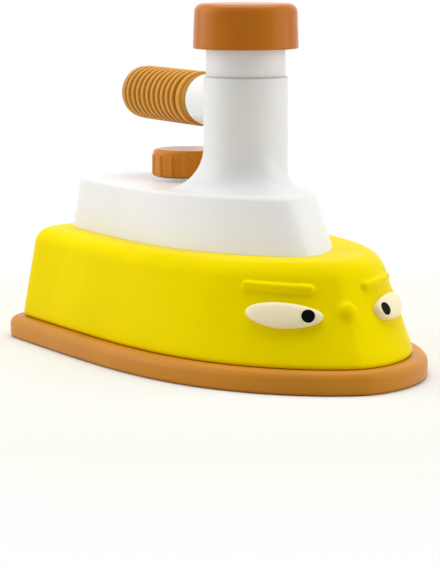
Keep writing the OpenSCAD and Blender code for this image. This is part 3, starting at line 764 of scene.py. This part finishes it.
def face_relief(points):
    """How far each point of the skin is raised for the brows and the nose."""
    rise = np.zeros(len(points))
    share = np.linspace(0, 1, BROW_STEPS)
    for side in (1, -1):
        y = BROW_IN[0] + (BROW_OUT[0] - BROW_IN[0]) * share
        z = BROW_IN[1] + (BROW_OUT[1] - BROW_IN[1]) * share
        middle = np.array([skin(side * a, b) for a, b in zip(y, z)])
        gap, nearest = distance(points, middle)
        width = BROW_IN_W + (BROW_OUT_W - BROW_IN_W) * share[nearest]
        rise += BROW_RISE * np.exp(-(gap / width) ** BROW_SOFT)
    gap, _ = distance(points, np.array([skin(0, NOSE_Z)]))
    return rise + NOSE_RISE * np.exp(-(gap / NOSE_W) ** NOSE_SOFT)


def body_skin():
    """Rows of points of the outer skin, with the brows and the nose raised."""
    face_end = ROOF - ROOF_EDGE
    middle = np.concatenate([
        np.linspace(SOLE_TOP + 2 * BODY_FOOT_EDGE, FACE_LOW, ROWS_BELOW_FACE, endpoint=False),
        np.linspace(FACE_LOW, face_end, FACE_ROWS, endpoint=False)])
    rows = wall_rows(SOLE_TOP, ROOF, BODY_FOOT_EDGE, ROOF_EDGE, middle)
    grid = np.array([ring(inset(body_outline(z), d), z) for z, d in rows])
    along = np.roll(grid, -1, axis=1) - np.roll(grid, 1, axis=1)
    up = np.gradient(grid, axis=0)
    normal = np.cross(along, up)
    normal /= np.linalg.norm(normal, axis=2, keepdims=True) + TINY
    x, z = grid[..., 0], grid[..., 2]
    near = (x > FACE_X) & (z > FACE_LOW) & (z < ROOF - ROOF_EDGE / 2)
    grid[near] += normal[near] * face_relief(grid[near])[:, None]
    return list(grid)


def eye_ring(eye, share, lift, grow):
    """Ring at a share of the eye's outline, lifted off the skin."""
    points = []
    for a in np.arange(EYE_SIDES) * 2 * math.pi / EYE_SIDES:
        y = eye.y + share * (eye.width / 2 + grow) * math.cos(a)
        z = eye.z + share * (eye.height / 2 + grow) * math.sin(a) * (1 + eye.egg * math.cos(a))
        points.append(skin(y, z) + skin_normal(y, z) * lift)
    return np.array(points)


def eye_solid(name, eye, depth, grow, lift):
    """Egg-shaped pebble that follows the skin, from its seat at a depth under it to its crown."""
    seat = [eye_ring(eye, share, -depth, grow) for share in EYE_SEAT_SHARES]
    top = [eye_ring(eye, math.sqrt(1 - h ** (1 / EYE_CROWN)), EYE_RISE * h + lift, grow)
           for h in EYE_HEIGHTS]
    return loft(name, seat + top + [eye_ring(eye, EYE_TIP_SHARE, EYE_RISE + lift, grow)])


def make_body():
    """One moulded shell with bosses, screw holes and pockets for the eyes."""
    inner = [ring(inset(body_outline(z), BODY_WALL), z)
             for z in (ROOF - BODY_WALL, ROOF - 3 * BODY_WALL, SOLE_TOP)]
    roof = [ring(inset(BODY_ROOF, ROOF_EDGE + d), ROOF) for d in ROOF_MARGIN]
    shell = loft("body_moulded", inner + body_skin() + roof)
    combine(shell, "UNION", pins(BOSS_R, SOLE_TOP, ROOF - BODY_WALL / 2, SOLE_SCREWS))
    pockets = [eye_solid("tool", EYE_LEFT, EYE_POCKET, EYE_SEAM, PAST),
               flip(eye_solid("tool", EYE_RIGHT, EYE_POCKET, EYE_SEAM, PAST))]
    pilots = pins(SCREW_R, SOLE_TOP - PAST, SOLE_TOP + SOLE_PILOT, SOLE_SCREWS)
    deck_holes = pins(SCREW_HOLE_R, ROOF - 2 * BODY_WALL, ROOF + PAST, DECK_SCREWS)
    combine(shell, "DIFFERENCE", pockets + pilots + deck_holes)
    dress(shell, "iron", ["body_shell"], yellow)


def pupil_place(eye):
    """Place of the pupil on the eye, its height straight out of the skin."""
    y, z = eye.y - eye.pupil_in, eye.z - eye.pupil_down
    out = skin_normal(y, z)
    share = math.hypot(2 * eye.pupil_in / eye.width, 2 * eye.pupil_down / eye.height)
    middle = skin(y, z) + out * EYE_RISE * (1 - share ** 2) ** EYE_CROWN
    return Matrix.Translation(middle) @ out.to_track_quat("Z", "Y").to_matrix().to_4x4()


def make_eyes():
    """Eyes in the pockets of the body, each with its pupil let in."""
    for side, eye in (("left", EYE_LEFT), ("right", EYE_RIGHT)):
        place = pupil_place(eye)
        pale = eye_solid("eye_" + side + "_inset", eye, EYE_POCKET - FIT, 0, 0)
        combine(pale, "DIFFERENCE",
                [pin(PUPIL_R + FIT, -PUPIL_DEPTH, PUPIL_TOOL_H, place, BORE_SEGMENTS)])
        dark = eye_solid("pupil_" + side + "_patch", eye, EYE_POCKET, 0, PUPIL_PROUD)
        combine(dark, "INTERSECT",
                [pin(PUPIL_R, -PUPIL_DEPTH + FIT, PUPIL_TOOL_H, place, BORE_SEGMENTS)])
        if side == "right":
            flip(pale)
            flip(dark)
        dress(pale, "iron", ["eye_" + side], cream)
        dress(dark, "iron", ["pupil_" + side], black)


# Housing

def column_rings(edge):
    """Rings from the deck's edge over the filleted foot to the top of the column.
    The fillet is as wide as the deck leaves room for in each direction."""
    axis = np.array([COLUMN_X, 0, 0])
    spokes = edge - axis
    far = np.hypot(spokes[:, 0], spokes[:, 1])
    aim = spokes / far[:, None]
    aim[:, 2] = 0
    room_left = far - COLUMN_R - FILLET_MARGIN
    fillet = -FILLET_BLEND * np.log(np.exp(-COLUMN_FILLET / FILLET_BLEND)
                                    + np.exp(-room_left / FILLET_BLEND))

    def at(radius, z):
        points = axis + aim * np.broadcast_to(radius, len(aim))[:, None]
        points[:, 2] = z
        return points

    flat = far - COLUMN_R - fillet
    deck = [at(COLUMN_R + fillet + flat * share, DECK) for share in DECK_SHARES]
    foot = [at(COLUMN_R + fillet * (1 - math.sin(b)), DECK + fillet * (1 - math.cos(b)))
            for b in np.linspace(0, math.pi / 2, FILLET_ROWS)]
    wall = [at(COLUMN_R, DECK + z) for z in COLUMN_ROWS]
    edge_at = (COLUMN_R - COLUMN_EDGE, COLUMN_TOP - COLUMN_EDGE)
    return deck + foot + wall + [at(r, z) for r, z in arc(edge_at, COLUMN_EDGE, 0, 90, steps=6)]


def neck_rings():
    """Neck from inside the column to the grip, with a fillet that follows the column's round."""
    phi = np.arange(SEGMENTS) * 2 * math.pi / SEGMENTS
    across, high = np.cos(phi), np.sin(phi)
    fillet = NECK_FILLET + (NECK_FILLET_TOP - NECK_FILLET) * np.clip(high, 0, 1) ** 2

    def at(radius, x):
        from_axis = np.broadcast_to(x, SEGMENTS)
        return np.stack([COLUMN_X - from_axis, radius * across, AXIS_Z + radius * high], axis=1)

    rings = [at(NECK_ROOT_R, NECK_ROOT)]
    for b in np.linspace(0, math.pi / 2, NECK_FILLET_ROWS):
        radius = NECK_R + fillet * (1 - math.sin(b))
        on_column = np.sqrt(COLUMN_R ** 2 - (radius * across) ** 2)
        rings.append(at(radius, on_column + fillet * (1 - math.cos(b)) - FILLET_SINK))
    length = COLUMN_X - grip_high.x
    return rings + [at(NECK_R, length - NECK_END), at(NECK_R, length)]


def make_housing():
    """Lofted shell with the column, the neck blended into it, and the ring under the dial."""
    inner = [ring(inset(housing_outline(z), HOUSING_WALL), z) for z in (DECK - HOUSING_WALL, ROOF)]
    outer = [ring(inset(housing_outline(z), d), z)
             for z, d in wall_rows(ROOF, DECK, HOUSING_FOOT_EDGE, DECK_EDGE, HOUSING_ROWS)]
    housing = loft("housing_moulded", inner + outer + column_rings(outer[-1]))
    combine(housing, "UNION", [loft("tool", neck_rings())])
    dial_ring = ([(0, DECK - PAST), (RING_R, DECK - PAST)]
                 + arc((RING_R - RING_EDGE, DECK + RING_H - RING_EDGE), RING_EDGE, 0, 90, steps=4)
                 + [(0, DECK + RING_H)])
    combine(housing, "UNION", [turned("tool", dial_ring, upright(DIAL_X))]
            + pins(BOSS_R, ROOF, DECK - HOUSING_WALL / 2, DECK_SCREWS))
    column_bore = [(0, ROOF - PAST), (LOWER_BORE_R, ROOF - PAST), (LOWER_BORE_R, sleeve_low.z),
                   (SLEEVE_BORE_R, sleeve_low.z), (SLEEVE_BORE_R, COLUMN_TOP + PAST),
                   (0, COLUMN_TOP + PAST)]
    combine(housing, "DIFFERENCE", [
        turned("tool", column_bore, upright(COLUMN_X), BORE_SEGMENTS),
        pin(SHAFT_R + FIT, ROOF, DECK + RING_H + PAST, upright(DIAL_X))])
    pilot_end = CORE_SEAT + HANDLE_PILOT
    core_bore = [(0, -PAST), (CORE_R, -PAST), (CORE_R, CORE_SEAT), (HANDLE_SCREW_R, CORE_SEAT),
                 (HANDLE_SCREW_R, pilot_end), (0, pilot_end)]
    combine(housing, "DIFFERENCE", [turned("tool", core_bore, lengthwise(grip_high.x), HOLE_SEGMENTS)]
            + pins(SCREW_R, ROOF - PAST, ROOF + DECK_PILOT, DECK_SCREWS))
    dress(housing, "iron", ["deck_housing"], white)


# Sleeve, button and spring

def make_sleeve():
    """Turned sleeve with a web for the button's post."""
    edge_at = (SLEEVE_R - SLEEVE_EDGE, sleeve_high.z - SLEEVE_EDGE)
    profile = ([(POST_R + POST_GAP, WEB_LOW), (SLEEVE_CUP_R, WEB_LOW), (SLEEVE_CUP_R, sleeve_low.z),
                (SLEEVE_BORE_R - FIT, sleeve_low.z), (SLEEVE_BORE_R - FIT, COLUMN_TOP),
                (SLEEVE_R - SLEEVE_GROOVE, COLUMN_TOP), (SLEEVE_R, COLUMN_TOP + SLEEVE_GROOVE)]
               + [(SLEEVE_R, COLUMN_TOP + z) for z in SLEEVE_ROWS]
               + arc(edge_at, SLEEVE_EDGE, 0, 90, steps=5)
               + [(SLEEVE_CUP_R, sleeve_high.z), (SLEEVE_CUP_R, WEB_HIGH), (POST_R + POST_GAP, WEB_HIGH)])
    sleeve = turned("sleeve_turned", profile, upright(COLUMN_X), closed=True)
    dress(sleeve, "iron", ["guide_sleeve"], white)


def make_cap():
    """Hollow button with a rounded crown, a soft skirt edge and its guide post."""
    top_r = CAP_R - CAP_TAPER
    inner_r = top_r - CAP_WALL
    ceiling = cap_high.z - CAP_WALL
    wall_top = cap_high.z - CAP_EDGE
    pilot_top = cap_low.z + PILOT_DEPTH
    profile = ([(0, cap_high.z), (TOP_RING * top_r, cap_high.z)]
               + arc((top_r - CAP_EDGE, wall_top), CAP_EDGE, 90, 0, steps=16)
               + [(top_r + CAP_TAPER * s, wall_top - (wall_top - SKIRT) * s) for s in CAP_WALL_SHARES]
               + arc((CAP_R - SKIRT_EDGE, SKIRT + SKIRT_EDGE), SKIRT_EDGE, 0, -90, steps=6)
               + [(inner_r, SKIRT), (inner_r, ceiling), (POST_R, ceiling), (POST_R, cap_low.z),
                  (SCREW_R, cap_low.z), (SCREW_R, pilot_top), (0, pilot_top)])
    cap = turned("button_turned", profile, upright(COLUMN_X))
    dress(cap, "button", ["button_cap"], caramel)


def make_spring():
    """Spring under the button."""
    coil_r = (spring_high.y - spring_low.y) / 2 - WIRE_R
    coil_low, coil_high = spring_low.z + WIRE_R, spring_high.z - WIRE_R
    around = np.arange(SPRING_SIDES) * 2 * math.pi / SPRING_SIDES
    r = coil_r + WIRE_R * np.cos(around)
    last = SPRING_TURNS * SPRING_STEPS
    rings = []
    for step in range(last + 1):
        a = 2 * math.pi * step / SPRING_STEPS
        z = coil_low + (coil_high - coil_low) * step / last
        rings.append(np.stack([COLUMN_X + r * math.cos(a), r * math.sin(a),
                               z + WIRE_R * np.sin(around)], axis=1))
    spring = loft("spring_coiled", rings)
    dress(spring, "iron", ["button_spring"], steel)
    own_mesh(spring)


# Grip and its end plug

def rib_height(u):
    """Share of a rib's height at u pitches from its middle."""
    foot = 1 / (1 + (0.5 / RIB_SHARE) ** RIB_POWER)
    return (1 / (1 + (abs(u) / RIB_SHARE) ** RIB_POWER) - foot) / (1 - foot)


def make_grip():
    """Grip with steep-sided ribs, a plain collar and a tapered front."""
    rear_band = (arc((BAND_R - BAND_EDGE, BAND_EDGE), BAND_EDGE, -90, 0, steps=5)
                 + arc((BAND_R - BAND_EDGE, RIB_START - BAND_GAP), BAND_EDGE, 0, 60, steps=4))
    ribs = [(GRIP_R - RIB_DEPTH * (1 - rib_height(k / RIB_ROWS - 0.5)),
             RIB_START + (i + k / RIB_ROWS) * RIB_PITCH)
            for i in range(RIB_COUNT) for k in range(RIB_ROWS)]
    collar = RIB_START + RIB_COUNT * RIB_PITCH
    collar_edge = arc((GRIP_R - COLLAR_EDGE, collar + COLLAR_EDGE_AT), COLLAR_EDGE, 180, 90, steps=5)
    taper = GRIP_L - FRONT_TAPER
    front_at = (GRIP_R - FRONT_DROP - FRONT_EDGE, GRIP_L - FRONT_EDGE)
    profile = ([(PLUG_R, 0)] + rear_band + ribs
               + [(GRIP_R - RIB_DEPTH, collar), (GRIP_R - 0.5 * RIB_DEPTH, collar + COLLAR_FLANK)]
               + collar_edge[2:]
               + [(GRIP_R, collar + COLLAR_FLAT_AT), (GRIP_R, taper - FRONT_BREAK),
                  (GRIP_R - FRONT_BREAK_DROP, taper), (GRIP_R - FRONT_STEP, taper + FRONT_STEP_L)]
               + arc(front_at, FRONT_EDGE, 5, 90, steps=4)
               + [(CORE_R + FIT, GRIP_L), (CORE_R + FIT, PLUG_RECESS), (PLUG_R, PLUG_RECESS)])
    grip = turned("grip_ribbed", profile, lengthwise(grip_low.x), closed=True)
    dress(grip, "iron", ["handle_grip"], grip_tan_painted_shade)


def make_plug():
    """End plug of the grip, a shallow dome."""
    rim_r = (plug_high.z - plug_low.z) / 2
    dome = grip_low.x - plug_low.x - PLUG_RIM
    profile = ([(0, -PLUG_RIM - dome)]
               + [(rim_r * s, -PLUG_RIM - dome * (1 - s * s)) for s in PLUG_DOME_SHARES]
               + [(rim_r, -PLUG_RIM), (rim_r, -FIT), (PLUG_R - FIT, -FIT),
                  (PLUG_R - FIT, PLUG_SPIGOT), (0, PLUG_SPIGOT)])
    plug = turned("end_plug_domed", profile, lengthwise(grip_low.x))
    dress(plug, "iron", ["grip_end_plug"], tan)


# Dial

def ridged(angle, radius, height):
    """Radius of the dial with its ridges, which end below the rounded top."""
    if radius < DIAL_R - RIDGE_REACH or height < DIAL_FOOT:
        return radius
    turn = ((angle - RIDGE_TURN) * RIDGES / (2 * math.pi) + 0.5) % 1 - 0.5
    off = abs(turn) * 2 * math.pi / RIDGES * DIAL_R / RIDGE_W
    if off >= 1:
        return radius
    fade = min(1.0, max(0.0, (dial_high.z - RIDGE_STOP - height) / RIDGE_RUN))
    return radius + RIDGE_H * math.sqrt(1 - off ** 2) * math.sqrt(fade * (2 - fade))


def make_dial():
    """Knob with upright ridges, on its stepped shaft."""
    pilot_top = wheel_low.z + PILOT_DEPTH
    seat = wheel_high.z + WHEEL_GAP
    profile = ([(0, pilot_top), (SCREW_R, pilot_top), (SCREW_R, wheel_low.z),
                (WHEEL_SEAT_R, wheel_low.z), (WHEEL_SEAT_R, seat), (SHAFT_R, seat),
                (SHAFT_R, DIAL_FOOT), (DIAL_R - DIAL_FOOT_EDGE, DIAL_FOOT)]
               + [(DIAL_R, z) for z in DIAL_ROWS]
               + arc((DIAL_R - DIAL_EDGE, DIAL_WALL_TOP), DIAL_EDGE, 0, 90, steps=10)
               + [(TOP_RING * DIAL_R, dial_high.z), (0, dial_high.z)])
    dial = turned("dial_ridged", profile, upright(DIAL_X), RIDGES * RIDGE_SEGMENTS, warp=ridged)
    dress(dial, "dial", ["dial_knob"], amber)


def finish_inner_parts():
    """Materials of the inner parts that keep their CAD shape."""
    finishes = {
        "deck_screws": steel, "button_washer": steel, "button_screw": steel,
        "handle_screw": steel, "click_spring": steel, "dial_washer": steel, "dial_screw": steel,
        "handle_core": white, "click_wheel": white,
    }
    for name, material in finishes.items():
        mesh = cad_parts[name].data
        mesh.materials.clear()
        mesh.materials.append(material)


# Floor, light and camera

def bare_tree(owner):
    """The emptied node tree of a material or a world."""
    owner.use_nodes = True
    owner.node_tree.nodes.clear()
    return owner.node_tree


def mixed(tree, share, first, second):
    """Output of two shaders mixed by share."""
    node = tree.nodes.new("ShaderNodeMixShader")
    tree.links.new(share, node.inputs[0])
    tree.links.new(first.outputs[0], node.inputs[1])
    tree.links.new(second.outputs[0], node.inputs[2])
    return node.outputs[0]


def seen_directly(tree):
    """1 for camera, glossy and transmission rays, 0 for the light that falls on the object."""
    path = tree.nodes.new("ShaderNodeLightPath")
    found = path.outputs["Is Camera Ray"]
    for other in ("Is Glossy Ray", "Is Transmission Ray"):
        found = reckon(tree, "MAXIMUM", found, path.outputs[other])
    return found


def floor_paper():
    """Pale matt paper that shows nearly white, with the object's soft shadow, painted contact shade
    beside the sole and a painted warm bounce near the object.
    """
    paper = bpy.data.materials.new("floor_paper")
    tree = bare_tree(paper)
    matt = tree.nodes.new("ShaderNodeBsdfDiffuse")
    matt.inputs["Color"].default_value = FLOOR_COLOUR
    glow = tree.nodes.new("ShaderNodeEmission")
    place = tree.nodes.new("ShaderNodeTexCoord").outputs["Object"]
    away = vector_step(tree, "LENGTH", place).outputs["Value"]
    fade = spread(tree, away, FLOOR_WHITE, 1.0, FADE_NEAR, FADE_FAR)
    # Painted bounce light: the glow is warm near the object and white further off
    painted_bounce_share = spread(tree, away, 0.0, 1.0, FADE_NEAR, FADE_FAR)
    tree.links.new(tint(tree, painted_bounce_share, PAINTED_BOUNCE_GLOW, GLOW_FAR), glow.inputs["Color"])
    # Painted contact shade: ambient occlusion beside the sole holds the glow back, which deepens the real
    # contact shadow there
    contact = tree.nodes.new("ShaderNodeAmbientOcclusion")
    contact.inputs["Distance"].default_value = CONTACT_REACH
    open_share = spread(tree, contact.outputs["AO"], 0.0, 1.0, *CONTACT_RANGE)
    share = reckon(tree, "MULTIPLY", reckon(tree, "MULTIPLY", fade, open_share), seen_directly(tree))
    surface = tree.nodes.new("ShaderNodeOutputMaterial")
    tree.links.new(mixed(tree, share, matt, glow), surface.inputs["Surface"])
    return paper


def make_floor():
    """Plain floor, which isn't part of the object."""
    corners = [(-FLOOR_HALF, -FLOOR_HALF, 0), (FLOOR_HALF, -FLOOR_HALF, 0),
               (FLOOR_HALF, FLOOR_HALF, 0), (-FLOOR_HALF, FLOOR_HALF, 0)]
    floor = new_object("floor", corners, [[0, 1, 2, 3]])
    floor.data.materials.append(floor_paper())


def make_room():
    """Pale light from all sides, and a white backdrop where the room is seen directly."""
    world = bpy.data.worlds.new("room")
    bpy.context.scene.world = world
    tree = bare_tree(world)
    room = tree.nodes.new("ShaderNodeBackground")
    room.inputs["Color"].default_value = WHITE
    room.inputs["Strength"].default_value = ROOM_LIGHT
    backdrop = tree.nodes.new("ShaderNodeBackground")
    backdrop.inputs["Color"].default_value = WHITE
    sky = tree.nodes.new("ShaderNodeOutputWorld")
    tree.links.new(mixed(tree, seen_directly(tree), room, backdrop), sky.inputs["Surface"])


def make_lamps():
    """Square soft boxes on both sides and above, all facing the object."""
    to_right = CAMERA_LOOK.cross(Vector((0, 0, 1))).normalized()
    to_camera = -Vector((CAMERA_LOOK.x, CAMERA_LOOK.y, 0)).normalized()
    for box in LAMPS:
        data = bpy.data.lights.new(box.name, "AREA")
        data.shape = "SQUARE"
        data.size = box.size
        data.energy = box.power
        lamp = bpy.data.objects.new(box.name, data)
        place = TARGET + box.right * to_right + box.nearer * to_camera + Vector((0, 0, box.above))
        lamp.location = place
        lamp.rotation_euler = (TARGET - place).to_track_quat("-Z", "Y").to_euler()
        bpy.context.scene.collection.objects.link(lamp)


def make_camera():
    """Camera at the photograph's viewing angle."""
    camera = bpy.data.objects.new("camera", bpy.data.cameras.new("camera"))
    camera.location = CAMERA_AT
    camera.rotation_euler = CAMERA_LOOK.to_track_quat("-Z", "Y").to_euler()
    camera.data.sensor_width = SENSOR
    camera.data.lens = LENS
    camera.data.clip_end = CAMERA_FAR
    bpy.context.scene.collection.objects.link(camera)
    bpy.context.scene.camera = camera
    bpy.context.scene.view_settings.view_transform = "Standard"


make_sole()
make_sole_screws()
make_body()
make_eyes()
make_housing()
make_sleeve()
make_cap()
make_spring()
make_grip()
make_plug()
make_dial()
finish_inner_parts()
make_floor()
make_room()
make_lamps()
make_camera()
